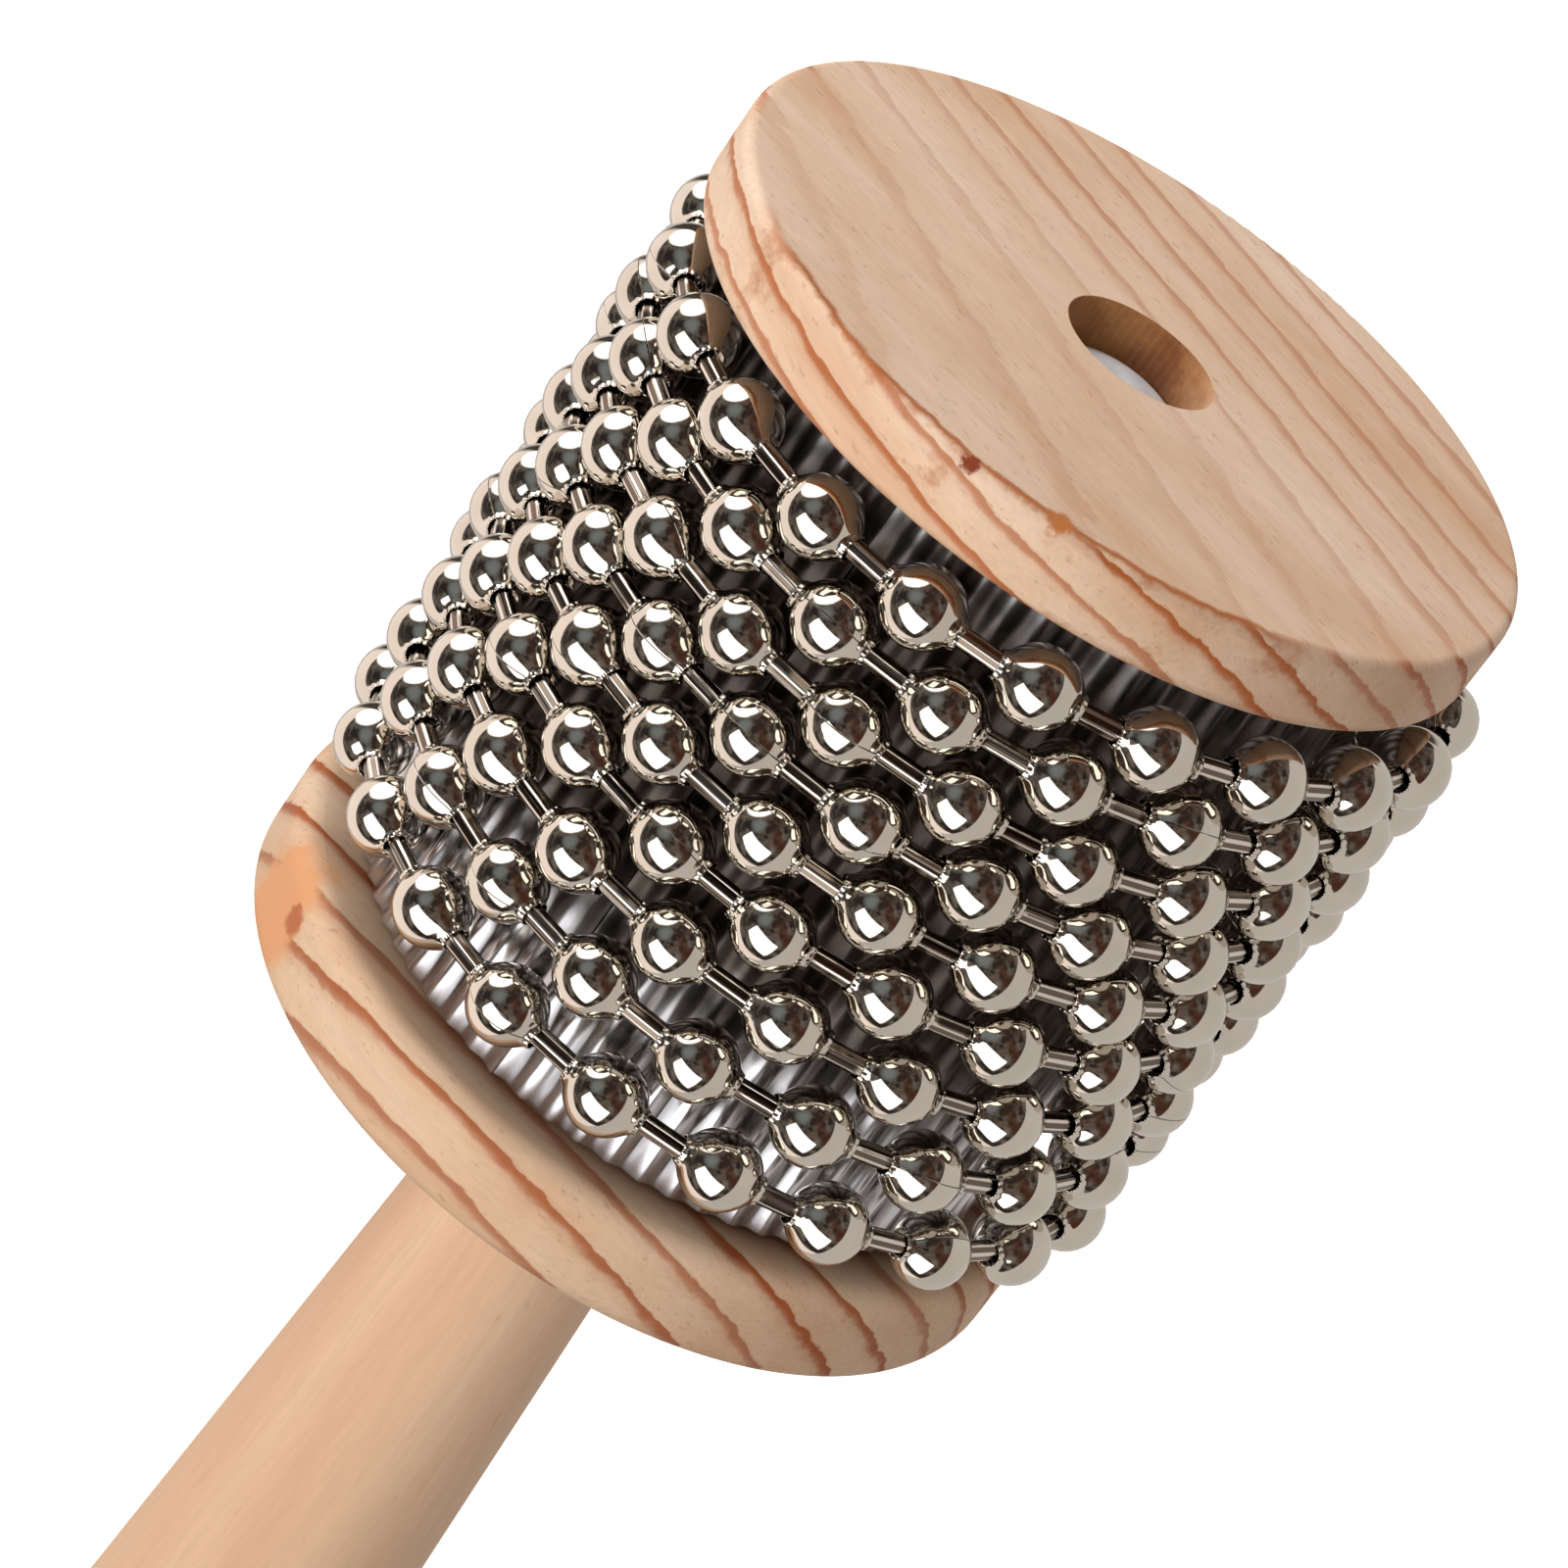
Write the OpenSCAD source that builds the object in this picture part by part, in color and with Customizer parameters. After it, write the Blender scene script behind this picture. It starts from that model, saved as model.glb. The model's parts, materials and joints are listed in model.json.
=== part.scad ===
// Cabasa: a wooden handle carries a drum between two pine discs. A fluted metal sleeve wraps the
// drum, and nine closed chains of hollow steel beads hang round it, loose enough to turn.
// +Z runs from the handle's flat end to the outer disc. The origin is the centre of that flat end.

/* [Handle] */
// Length of the handle, from its flat end to the inner disc
handle_l = 105; // [80:1:140]
// Diameter of the neck, where the handle meets the inner disc
neck_d = 19.4; // [16:0.1:26]
// Diameter of the grip at the flat end, before its edge is rounded
grip_d = 29.9; // [27:0.1:36]
// Rounding of the edge round the flat end
grip_edge_r = 4; // [1:0.1:6]

/* [Discs] */
// Diameter of both discs
disc_d = 80; // [76:0.5:100]
// Thickness of the outer disc
outer_disc_t = 8; // [7:0.1:12]
// Rounding of the outer disc's edges
outer_edge_r = 1.1; // [0.5:0.1:3]
// Thickness of the inner disc
inner_disc_t = 10.6; // [7:0.1:14]
// Rounding of the inner disc's edges
inner_edge_r = 2.4; // [0.5:0.1:3]

/* [Drum] */
// Length of the drum between the two discs
drum_l = 70.4; // [66:0.2:100]
// Diameter over the crests of the fluted sleeve
sleeve_d = 66.8; // [60:0.2:74]
// Number of flutes round the sleeve
flutes = 66; // [40:1:90]
// Depth of a flute, from crest to valley
flute_depth = 0.55; // [0.2:0.05:1]
// Thickness of the sleeve's sheet
sheet_t = 0.3; // [0.2:0.05:0.5]
// Direction of the sleeve's seam, the free edge of its lap
seam_az = -112; // [-180:1:180]

/* [Bead chains] */
// Number of beads in each chain
bead_count = 21; // [18:1:23]
// Diameter of a bead
bead_d = 7.1; // [6:0.1:7.4]
// Length of a bead along its chain, from rim to rim
bead_l = 7.9; // [7.2:0.1:8.8]
// Wall of a bead's pressed shell
shell_t = 0.4; // [0.3:0.05:0.6]
// Diameter of the hole in each end of a bead
bead_hole_d = 2.3; // [2.1:0.05:2.6]
// Width of the rim round that hole
bead_rim_w = 0.2; // [0.1:0.05:0.5]
// Diameter of a link's shank
link_d = 1.7; // [1.2:0.05:1.8]
// Diameter of the bulb that holds each end of a link inside its bead
bulb_d = 2.8; // [2.7:0.05:3.1]
// How far the middle of each chain hangs off the drum's axis
slack = 2; // [0.5:0.1:4]
// Direction in which the chains hang off
slack_az = 38; // [-180:1:180]
// Direction of a bead of the first chain, seen from the chain's middle
first_bead_az = -101.8; // [-180:0.1:180]
// Distance from the outer disc down to the middle of the first chain
top_gap = 6.35; // [5.5:0.05:8]
// Distance from the inner disc up to the middle of the last chain
bottom_gap = 7.35; // [6.5:0.05:9]
// Lean of the first chain towards the slack side, in degrees
first_lean = 0.3; // [0:0.1:1]
// Lean of the last chain towards the slack side, in degrees
last_lean = 2.6; // [1:0.1:3]

/* [Bolt] */
// Diameter of the bolt's shank
bolt_d = 6; // [5:0.1:8]
// Length of bolt that goes into the handle
bolt_grip_l = 16.6; // [10:0.2:30]
// Diameter of the recess for the bolt's head
recess_d = 15; // [13:0.1:18]
// Depth of that recess, down to the seat of the head
recess_l = 5.6; // [4:0.1:6]
// Height of the dome on the head
dome_h = 2; // [1:0.1:2.6]
// Thickness of the head at its edge
head_edge_t = 0.6; // [0.4:0.1:1.2]
// Width of the square neck under the head
neck_w = 6; // [6:0.1:7]
// Diameter of the threaded insert in the handle
insert_d = 9; // [8.6:0.1:11]
// Length of the threaded insert
insert_l = 15; // [10:0.5:20]
// Depth of the insert's face below the end of the handle's neck
insert_sink = 0.5; // [0.2:0.1:1]

/* [Clearances] */
// Between the beads and the sleeve, on the side where a chain rests
bead_clear = 0.3; // [0.2:0.05:0.6]
// Between a bulb and the rim of the hole that keeps it in
bulb_clear = 0.1; // [0.05:0.05:0.3]
// Between the core and the valleys of the sleeve
core_clear = 0.1; // [0.05:0.05:0.3]
// Between each end of the sleeve and its disc
end_clear = 0.1; // [0.05:0.05:0.3]
// Between the two sheets of the sleeve's lap
lap_clear = 0.05; // [0.05:0.05:0.2]
// Round the bolt in the core, the inner disc and the handle
bolt_clear = 0.25; // [0.1:0.05:0.5]
// Round the bolt's head in its recess
head_clear = 0.2; // [0.1:0.05:0.5]
// Round the square neck, and at its end
neck_clear = 0.1; // [0.05:0.05:0.2]
// Round the insert in the handle, and round the bolt in the insert
insert_clear = 0.05; // [0.02:0.01:0.1]

/* [Hidden] */
$fn = 64;

// Every cut runs this far past the face that it opens
overrun = 1;

// Heights of the faces along the axis, from the handle's flat end up
drum_z = handle_l + inner_disc_t;
outer_z = drum_z + drum_l;
top_z = outer_z + outer_disc_t;
seat_z = top_z - recess_l;

// Number of chains, which the list of nodes fixes
chains = 9;
// How far each chain has turned at rest, as a share of the step from bead to bead
turn_shares = [0, 0.57, 0.04, 0.54, 0.04, 0.5, -0.05, 0.62, 0.22];
// The chains spread apart below this one, by this share of a step at first
spread_from = 5;
spread_share = 0.04;
// How the lean grows down the drum: 1 is evenly, more is later
lean_growth = 1.6;

// The beads' middles lie on one circle, their hole centres on a larger one, and the links between
sleeve_r = sleeve_d / 2;
bead_r = bead_d / 2;
chain_r = sleeve_r + bead_clear + bead_r + slack;
bead_step = 360 / bead_count;
bead_half_step = atan(bead_l / 2 / chain_r);
link_half_step = bead_step / 2 - bead_half_step;
rim_r = chain_r / cos(bead_half_step);
link_r = rim_r * cos(link_half_step);
link_gap = 2 * rim_r * sin(link_half_step);
// From a bead's rim to the middle of the bulb inside it, along the link
bulb_in = (shell_t + bulb_d / 2 + bulb_clear) / cos(bead_step / 2);

// Sleeve
flute_points = 6;
flute_step = 360 / flutes;
sheet_lift = sheet_t + lap_clear;
core_r = sleeve_r - flute_depth - sheet_t - core_clear;

// Bolt
head_r = recess_d / 2 - head_clear;
dome_r = (pow(head_r, 2) + pow(dome_h, 2)) / (2 * dome_h);
neck_l = outer_disc_t - recess_l - neck_clear;
bolt_bore_d = bolt_d + 2 * bolt_clear;
bolt_end_z = handle_l - bolt_grip_l;

// The grip's taper and the centre of its rounded edge
taper = atan((grip_d - neck_d) / 2 / handle_l);
edge_x = grip_d / 2 - grip_edge_r * (1 + sin(taper)) / cos(taper);

// Where a chain lies down the drum, 0 for the first and 1 for the last
function steps_down(k) = k - 1 + spread_share * pow(max(0, k - spread_from), 2);
function down(k) = steps_down(k) / steps_down(chains);
function chain_z(k) = outer_z - top_gap - down(k) * (drum_l - top_gap - bottom_gap);
function chain_lean(k) = first_lean + (last_lean - first_lean) * pow((k - 1) / (chains - 1), lean_growth);
function chain_turn(k) = first_bead_az + turn_shares[k - 1] * bead_step;

// The sleeve's outer surface at an angle along its sheet, which climbs onto its own start at the lap
function flute_r(a) = sleeve_r - flute_depth / 2 * (1 - cos(flutes * a));
function lift(a) = sheet_lift * min(1, max(0, (a - 360 + flute_step) / flute_step));
function sheet_point(a, inset) = (flute_r(a) + lift(a) - inset) * [cos(a), sin(a)];

module disc(thickness, edge_r) {
    rotate_extrude() {
        square([disc_d / 2 - edge_r, thickness]);
        translate([0, edge_r]) square([disc_d / 2, thickness - 2 * edge_r]);
        for (z = [edge_r, thickness - edge_r]) translate([disc_d / 2 - edge_r, z]) circle(edge_r);
    }
}

module bolt_bore(z, h) {
    translate([0, 0, z - overrun]) cylinder(d = bolt_bore_d, h = h + 2 * overrun);
}

module square_neck(w, z, h) {
    translate([-w / 2, -w / 2, z]) cube([w, w, h]);
}

// Half the outline of a ball of radius r, drawn in by cones to ends of radius end_r that lie l apart
module drawn_ball(r, end_r, l) {
    meet = atan2(end_r, l / 2) + acos(r / norm([end_r, l / 2]));
    circle(r);
    polygon([
        [0, l / 2], [end_r, l / 2], [r * sin(meet), r * cos(meet)],
        [r * sin(meet), -r * cos(meet)], [end_r, -l / 2], [0, -l / 2]
    ]);
}

module bead() {
    hole_r = bead_hole_d / 2;
    rotate_extrude() difference() {
        drawn_ball(bead_r, hole_r + bead_rim_w, bead_l);
        drawn_ball(bead_r - shell_t, hole_r, bead_l - 2 * shell_t);
        translate([-bead_l, -bead_l]) square([bead_l + hole_r, 2 * bead_l]);
    }
}

module link() {
    reach = link_gap / 2 + bulb_in;
    cylinder(d = link_d, h = 2 * reach, center = true);
    for (z = [-reach, reach]) translate([0, 0, z]) sphere(d = bulb_d);
}

// Puts its child at every step round chain k, whose plane leans down towards the slack side
module round_chain(k) {
    translate([slack * cos(slack_az), slack * sin(slack_az), chain_z(k)])
        rotate([0, 0, slack_az]) rotate([0, chain_lean(k), 0]) rotate([0, 0, -slack_az])
            for (i = [0:bead_count - 1]) rotate([0, 0, chain_turn(k) + i * bead_step]) children();
}

module handle() {
    insert_bore_l = insert_sink + insert_l;
    bore_end_z = bolt_end_z - bolt_bore_d;
    color([0.86, 0.72, 0.58]) difference() {
        rotate_extrude() {
            polygon([
                [0, 0], [edge_x, 0],
                [edge_x + grip_edge_r * cos(taper), grip_edge_r * (1 + sin(taper))],
                [neck_d / 2, handle_l], [0, handle_l]
            ]);
            translate([edge_x, grip_edge_r]) circle(grip_edge_r);
        }
        translate([0, 0, handle_l - insert_bore_l])
            cylinder(d = insert_d + 2 * insert_clear, h = insert_bore_l + overrun);
        translate([0, 0, bore_end_z]) cylinder(d = bolt_bore_d, h = handle_l - bore_end_z + overrun);
    }
}

module insert_nut() {
    color([0.8, 0.68, 0.38]) translate([0, 0, handle_l - insert_sink - insert_l]) difference() {
        cylinder(d = insert_d, h = insert_l);
        translate([0, 0, -overrun]) cylinder(d = bolt_d + 2 * insert_clear, h = insert_l + 2 * overrun);
    }
}

module inner_disc() {
    color([0.83, 0.67, 0.52]) difference() {
        translate([0, 0, handle_l]) disc(inner_disc_t, inner_edge_r);
        bolt_bore(handle_l, inner_disc_t);
    }
}

module core() {
    color([0.78, 0.64, 0.5]) difference() {
        translate([0, 0, drum_z]) cylinder(r = core_r, h = drum_l);
        bolt_bore(drum_z, drum_l);
    }
}

module sleeve() {
    angle_step = flute_step / flute_points;
    angles = [for (i = [0:(flutes + 1) * flute_points]) i * angle_step];
    outside = [for (a = angles) sheet_point(a, 0)];
    inside = [for (i = [len(angles) - 1:-1:0]) sheet_point(angles[i], sheet_t)];
    color([0.8, 0.81, 0.83]) translate([0, 0, drum_z + end_clear]) rotate([0, 0, seam_az - flute_step])
        linear_extrude(drum_l - 2 * end_clear) polygon(concat(outside, inside));
}

module outer_disc() {
    color([0.86, 0.71, 0.57]) difference() {
        translate([0, 0, outer_z]) disc(outer_disc_t, outer_edge_r);
        translate([0, 0, seat_z]) cylinder(d = recess_d, h = recess_l + overrun);
        square_neck(neck_w + 2 * neck_clear, outer_z - overrun, outer_disc_t);
    }
}

module connector_bolt() {
    color([0.75, 0.76, 0.78]) {
        translate([0, 0, seat_z]) rotate_extrude() {
            square([head_r, head_edge_t]);
            intersection() {
                translate([0, head_edge_t + dome_h - dome_r]) circle(dome_r);
                square([head_r, head_edge_t + dome_h]);
            }
        }
        square_neck(neck_w, seat_z - neck_l, neck_l);
        translate([0, 0, bolt_end_z]) cylinder(d = bolt_d, h = seat_z - bolt_end_z);
    }
}

module beads(k) {
    color([0.72, 0.7, 0.67]) round_chain(k) translate([chain_r, 0, 0]) rotate([90, 0, 0]) bead();
}

module links(k) {
    color([0.6, 0.59, 0.57]) round_chain(k)
        rotate([0, 0, bead_step / 2]) translate([link_r, 0, 0]) rotate([90, 0, 0]) link();
}

handle();
insert_nut();
inner_disc();
core();
sleeve();
outer_disc();
connector_bolt();
beads(1);  // beads_1
beads(2);  // beads_2
beads(3);  // beads_3
beads(4);  // beads_4
beads(5);  // beads_5
beads(6);  // beads_6
beads(7);  // beads_7
beads(8);  // beads_8
beads(9);  // beads_9
links(1);  // links_1
links(2);  // links_2
links(3);  // links_3
links(4);  // links_4
links(5);  // links_5
links(6);  // links_6
links(7);  // links_7
links(8);  // links_8
links(9);  // links_9
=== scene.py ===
import json
import math
import random

import bmesh
import bpy
from mathutils import Matrix, Vector


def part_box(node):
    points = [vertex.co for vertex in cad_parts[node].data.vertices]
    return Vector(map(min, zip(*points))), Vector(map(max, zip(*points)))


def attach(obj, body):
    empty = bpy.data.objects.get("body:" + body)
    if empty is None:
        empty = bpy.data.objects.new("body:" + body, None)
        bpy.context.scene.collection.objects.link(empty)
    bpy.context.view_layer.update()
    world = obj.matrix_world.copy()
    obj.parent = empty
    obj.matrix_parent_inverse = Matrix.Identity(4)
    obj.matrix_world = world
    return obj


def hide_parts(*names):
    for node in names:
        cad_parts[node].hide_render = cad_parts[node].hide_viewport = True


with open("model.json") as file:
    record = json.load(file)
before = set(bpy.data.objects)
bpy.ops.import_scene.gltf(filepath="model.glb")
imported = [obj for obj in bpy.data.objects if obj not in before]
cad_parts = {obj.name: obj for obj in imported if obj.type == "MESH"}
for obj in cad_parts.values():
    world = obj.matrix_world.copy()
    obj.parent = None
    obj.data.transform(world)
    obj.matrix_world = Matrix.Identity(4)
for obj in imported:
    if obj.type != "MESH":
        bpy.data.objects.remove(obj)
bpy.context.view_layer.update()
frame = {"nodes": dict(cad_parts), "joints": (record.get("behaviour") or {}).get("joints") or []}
nodes = frame["nodes"]
MM = 0.001


# Handle: turned from one piece of pale, close-grained hardwood, sanded smooth and left bare.
# The connector bolt pulls its neck up against the inner disc. The CAD solid stays as it is.

def linear(hex_colour):
    """An sRGB hex colour as the linear colour that a socket takes."""
    parts = [int(hex_colour[i:i + 2], 16) / 255 for i in (0, 2, 4)]
    return [p / 12.92 if p <= 0.04045 else ((p + 0.055) / 1.055) ** 2.4 for p in parts] + [1]


def add(tree, kind, inputs=None, ramp=None, **settings):
    """Adds a shader node with its settings, its socket values and the links that come into it."""
    made = tree.nodes.new("ShaderNode" + kind)
    for name, value in settings.items():
        setattr(made, name, value)
    for name, value in (inputs or {}).items():
        socket = made.inputs[name] if isinstance(name, int) else next(
            s for s in made.inputs if s.name == name and s.enabled)
        if isinstance(value, bpy.types.NodeSocket):
            tree.links.new(value, socket)
        else:
            socket.default_value = value
    if ramp:
        stops = made.color_ramp.elements
        while len(stops) < len(ramp):
            stops.new(1)
        for stop, (place, colour) in zip(stops, ramp):
            stop.position = place
            stop.color = colour if isinstance(colour, list) else (colour, colour, colour, 1)
    return made


def new_finish(name):
    """An empty material with its node tree and its shader."""
    finish = bpy.data.materials.new(name)
    finish.use_nodes = True
    return finish, finish.node_tree, finish.node_tree.nodes["Principled BSDF"]


def dress(piece, finish):
    """Gives all of a piece one finish."""
    piece.data.materials.clear()
    piece.data.materials.append(finish)


# Sanded bare hardwood: a soft peach tone that drifts along the handle, fine fibres and short darker
# flecks 2 to 4 mm long. The fibres are 0.6 mm apart, coarser than the real ones, so that they show.
# Mapping counts mm across the grain and fewer along it, so a Scale is a count of patches in a mm.
grip_wood, tree, shader = new_finish("sanded_bare_hardwood")
place = add(tree, "TexCoord").outputs["Object"]
along = add(tree, "Mapping", {"Vector": place, "Scale": (1000, 1000, 45), "Rotation": (0.03, 0.04, 0)})
drift = add(tree, "TexNoise", {"Vector": along.outputs[0], "Scale": 0.09, "Detail": 3, "Roughness": 0.55})
fibre = add(tree, "TexNoise", {"Vector": along.outputs[0], "Scale": 1.6, "Detail": 4, "Roughness": 0.7})
dash_place = add(tree, "Mapping", {"Vector": place, "Scale": (1000, 1000, 260)})
dash = add(tree, "TexNoise", {"Vector": dash_place.outputs[0], "Scale": 1.5, "Detail": 2, "Roughness": 0.5})
dashes = add(tree, "ValToRGB", {"Fac": dash.outputs[0]}, ramp=[(0.66, 0), (0.78, 0.6)])
tone = add(tree, "ValToRGB", {"Fac": drift.outputs[0]},
           ramp=[(0.25, linear("CFA385")), (0.5, linear("DAB493")), (0.75, linear("E3C3A8"))])
fine = add(tree, "ValToRGB", {"Fac": fibre.outputs[0]}, ramp=[(0.3, 0.9), (0.65, 1.0)])
streaked = add(tree, "Mix", {"Factor": 1.0, "A": tone.outputs[0], "B": fine.outputs[0]},
               data_type="RGBA", blend_type="MULTIPLY")
flecked = add(tree, "Mix", {"Factor": dashes.outputs[0], "A": streaked.outputs[2], "B": linear("C79E7C")},
              data_type="RGBA")
tree.links.new(flecked.outputs[2], shader.inputs["Base Color"])
dull = add(tree, "MapRange", {"Value": fibre.outputs[0], "To Min": 0.5, "To Max": 0.64})
tree.links.new(dull.outputs[0], shader.inputs["Roughness"])
relief = add(tree, "Bump", {"Height": fibre.outputs[0], "Strength": 0.5, "Distance": 0.03 * MM})
tree.links.new(relief.outputs[0], shader.inputs["Normal"])
dress(nodes["handle"], grip_wood)


# Threaded insert: a short brass sleeve glued into the handle's neck, which takes the connector bolt.
# It is hidden in the built instrument, and the CAD solid stays as it is.

# Turned brass: yellow metal with fine turning marks round it
insert_brass, tree, shader = new_finish("turned_brass")
place = add(tree, "TexCoord").outputs["Object"]
turned = add(tree, "Mapping", {"Vector": place, "Scale": (200, 200, 6000)})
marks = add(tree, "TexNoise", {"Vector": turned.outputs[0], "Scale": 1.0, "Detail": 2})
tint = add(tree, "ValToRGB", {"Fac": marks.outputs[0]},
           ramp=[(0.3, linear("C9A552")), (0.7, linear("DDBE72"))])
tree.links.new(tint.outputs[0], shader.inputs["Base Color"])
shader.inputs["Metallic"].default_value = 1
shader.inputs["Roughness"].default_value = 0.3
relief = add(tree, "Bump", {"Height": marks.outputs[0], "Strength": 0.5, "Distance": 0.02 * MM})
tree.links.new(relief.outputs[0], shader.inputs["Normal"])
dress(nodes["insert_nut"], insert_brass)


# Inner disc: sawn and sanded from a pine board, with its rim rounded over by hand sanding. It is
# clamped between the handle's neck and the core. The rings run along the board and bend over the rim.

def pine(name, grain_turn, pith, lift, ring_mm, ring_at, sway_mm, early, late, contrast, seed,
         turn_at=0):
    """Sanded pine: growth rings about a pith that runs along the board, fibres, pores and tone drift.

    One ring lies ring_at mm from the pith. Contrast has the rings' strength on the board's near side
    and far side, which meet turn_at mm across the board from the pith, and on the disc's rim. Gives
    the finish, its tree and shader, the place in mm, the colour and the height."""
    finish, tree, shader = new_finish(name)
    place = add(tree, "TexCoord").outputs["Object"]
    mm = add(tree, "Mapping", {"Vector": place, "Scale": (1000, 1000, 1000)}).outputs[0]
    turned = add(tree, "Mapping", {"Vector": mm, "Rotation": (0, 0, -grain_turn)})
    board = add(tree, "Mapping", {"Vector": turned.outputs[0], "Location": [-p for p in pith],
                                  "Rotation": (0, lift, 0)})
    slow = add(tree, "Mapping", {"Vector": board.outputs[0], "Scale": (0.3, 1, 1),
                                 "Location": (seed, 0, 0)})
    sway = add(tree, "TexNoise", {"Vector": slow.outputs[0], "Scale": 0.045, "Detail": 2,
                                  "Roughness": 0.45})
    swayed = add(tree, "MapRange", {"Value": sway.outputs[0], "To Min": -sway_mm, "To Max": sway_mm})
    jitter = add(tree, "TexNoise", {"Vector": slow.outputs[0], "Scale": 0.5, "Detail": 3,
                                    "Roughness": 0.6})
    jittered = add(tree, "MapRange", {"Value": jitter.outputs[0], "To Min": -0.7, "To Max": 0.7})
    across = add(tree, "VectorMath", {0: board.outputs[0], 1: (0, 1, 1)}, operation="MULTIPLY")
    radius = add(tree, "VectorMath", {0: across.outputs[0]}, operation="LENGTH").outputs["Value"]
    bent = add(tree, "Math", {0: radius, 1: swayed.outputs[0]}, operation="ADD").outputs[0]
    rough = add(tree, "Math", {0: bent, 1: jittered.outputs[0]}, operation="ADD").outputs[0]
    line_at = 0.93  # the share of a year's growth at which its line is darkest
    rings = add(tree, "Math", {0: rough, 1: 1 / ring_mm, 2: line_at - ring_at / ring_mm},
                operation="MULTIPLY_ADD")
    year = add(tree, "Math", {0: rings.outputs[0]}, operation="FLOOR")
    season = add(tree, "Math", {0: rings.outputs[0]}, operation="FRACT")
    weight = add(tree, "TexWhiteNoise", {"W": year.outputs[0]}, noise_dimensions="1D")
    strength = add(tree, "MapRange", {"Value": weight.outputs["Value"], "To Min": 0.7, "To Max": 1.0})
    latewood = add(tree, "ValToRGB", {"Fac": season.outputs[0]},
                   ramp=[(0.0, 0.4), (0.04, 0.0), (0.6, 0.03), (0.78, 0.25), (0.86, 0.8), (0.92, 1.0)])
    band = add(tree, "Math", {0: latewood.outputs[0], 1: strength.outputs[0]},
               operation="MULTIPLY").outputs[0]
    fibre_place = add(tree, "Mapping", {"Vector": board.outputs[0], "Scale": (0.05, 1, 1)})
    fibre = add(tree, "TexNoise", {"Vector": fibre_place.outputs[0], "Scale": 1.7, "Detail": 4,
                                   "Roughness": 0.7})
    pore_place = add(tree, "Mapping", {"Vector": board.outputs[0], "Scale": (0.35, 1, 1)})
    pore = add(tree, "TexNoise", {"Vector": pore_place.outputs[0], "Scale": 2.0, "Detail": 2,
                                  "Roughness": 0.5})
    pores = add(tree, "ValToRGB", {"Fac": pore.outputs[0]}, ramp=[(0.63, 0), (0.73, 0.4)])
    broad = add(tree, "TexNoise", {"Vector": slow.outputs[0], "Scale": 0.07, "Detail": 3,
                                   "Roughness": 0.6})
    tone = add(tree, "ValToRGB", {"Fac": broad.outputs[0]},
               ramp=[(0.3, linear(early[0])), (0.5, linear(early[1])), (0.7, linear(early[2]))])
    sides = add(tree, "SeparateXYZ", {"Vector": board.outputs[0]}).outputs["Y"]
    side = add(tree, "MapRange", {"Value": sides, "From Min": turn_at - 10, "From Max": turn_at + 10,
                                  "To Min": contrast[0], "To Max": contrast[1]}).outputs[0]
    flat = add(tree, "VectorMath", {0: mm, 1: (1, 1, 0)}, operation="MULTIPLY").outputs[0]
    outward = add(tree, "VectorMath", {0: flat}, operation="LENGTH").outputs["Value"]
    face_r, rim_r = 38.6, 39.6  # mm from the middle, where a disc's face ends and its rim begins
    rim = add(tree, "MapRange", {"Value": outward, "From Min": face_r, "From Max": rim_r,
                                 "To Max": contrast[2]}).outputs[0]
    strong = add(tree, "Math", {0: side, 1: rim}, operation="MAXIMUM").outputs[0]
    share = add(tree, "Math", {0: band, 1: strong}, operation="MULTIPLY").outputs[0]
    ringed = add(tree, "Mix", {"Factor": share, "A": tone.outputs[0], "B": linear(late)},
                 data_type="RGBA")
    fine = add(tree, "ValToRGB", {"Fac": fibre.outputs[0]}, ramp=[(0.3, 0.89), (0.62, 1.0)])
    fibred = add(tree, "Mix", {"Factor": 1.0, "A": ringed.outputs[2], "B": fine.outputs[0]},
                 data_type="RGBA", blend_type="MULTIPLY")
    colour = add(tree, "Mix", {"Factor": pores.outputs[0], "A": fibred.outputs[2], "B": linear("98704F")},
                 data_type="RGBA").outputs[2]
    height = add(tree, "Math", {0: band, 1: fibre.outputs[0]}, operation="ADD").outputs[0]
    return finish, tree, shader, mm, colour, height


def blot(tree, mm, middle, reach, ragged):
    """A share that falls from 1 to 0 about a place, with a ragged edge."""
    noise = add(tree, "TexNoise", {"Vector": mm, "Scale": 2.2 / reach, "Detail": 3, "Roughness": 0.6})
    away = add(tree, "VectorMath", {0: mm, 1: middle}, operation="DISTANCE").outputs["Value"]
    far = add(tree, "Math", {0: noise.outputs[0], 1: ragged * reach, 2: away}, operation="MULTIPLY_ADD")
    return add(tree, "MapRange", {"Value": far.outputs[0], "From Min": reach * (0.6 + ragged / 2),
                                  "From Max": reach * (1.2 + ragged / 2), "To Min": 1.0, "To Max": 0.0},
               interpolation_type="SMOOTHSTEP").outputs[0]


def finish_wood(tree, shader, colour, height, dull):
    """Joins colour, dullness and relief to the wood's shader."""
    tree.links.new(colour, shader.inputs["Base Color"])
    shader.inputs["Roughness"].default_value = dull
    relief = add(tree, "Bump", {"Height": height, "Strength": 0.6, "Distance": 0.05 * MM})
    tree.links.new(relief.outputs[0], shader.inputs["Normal"])


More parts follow.
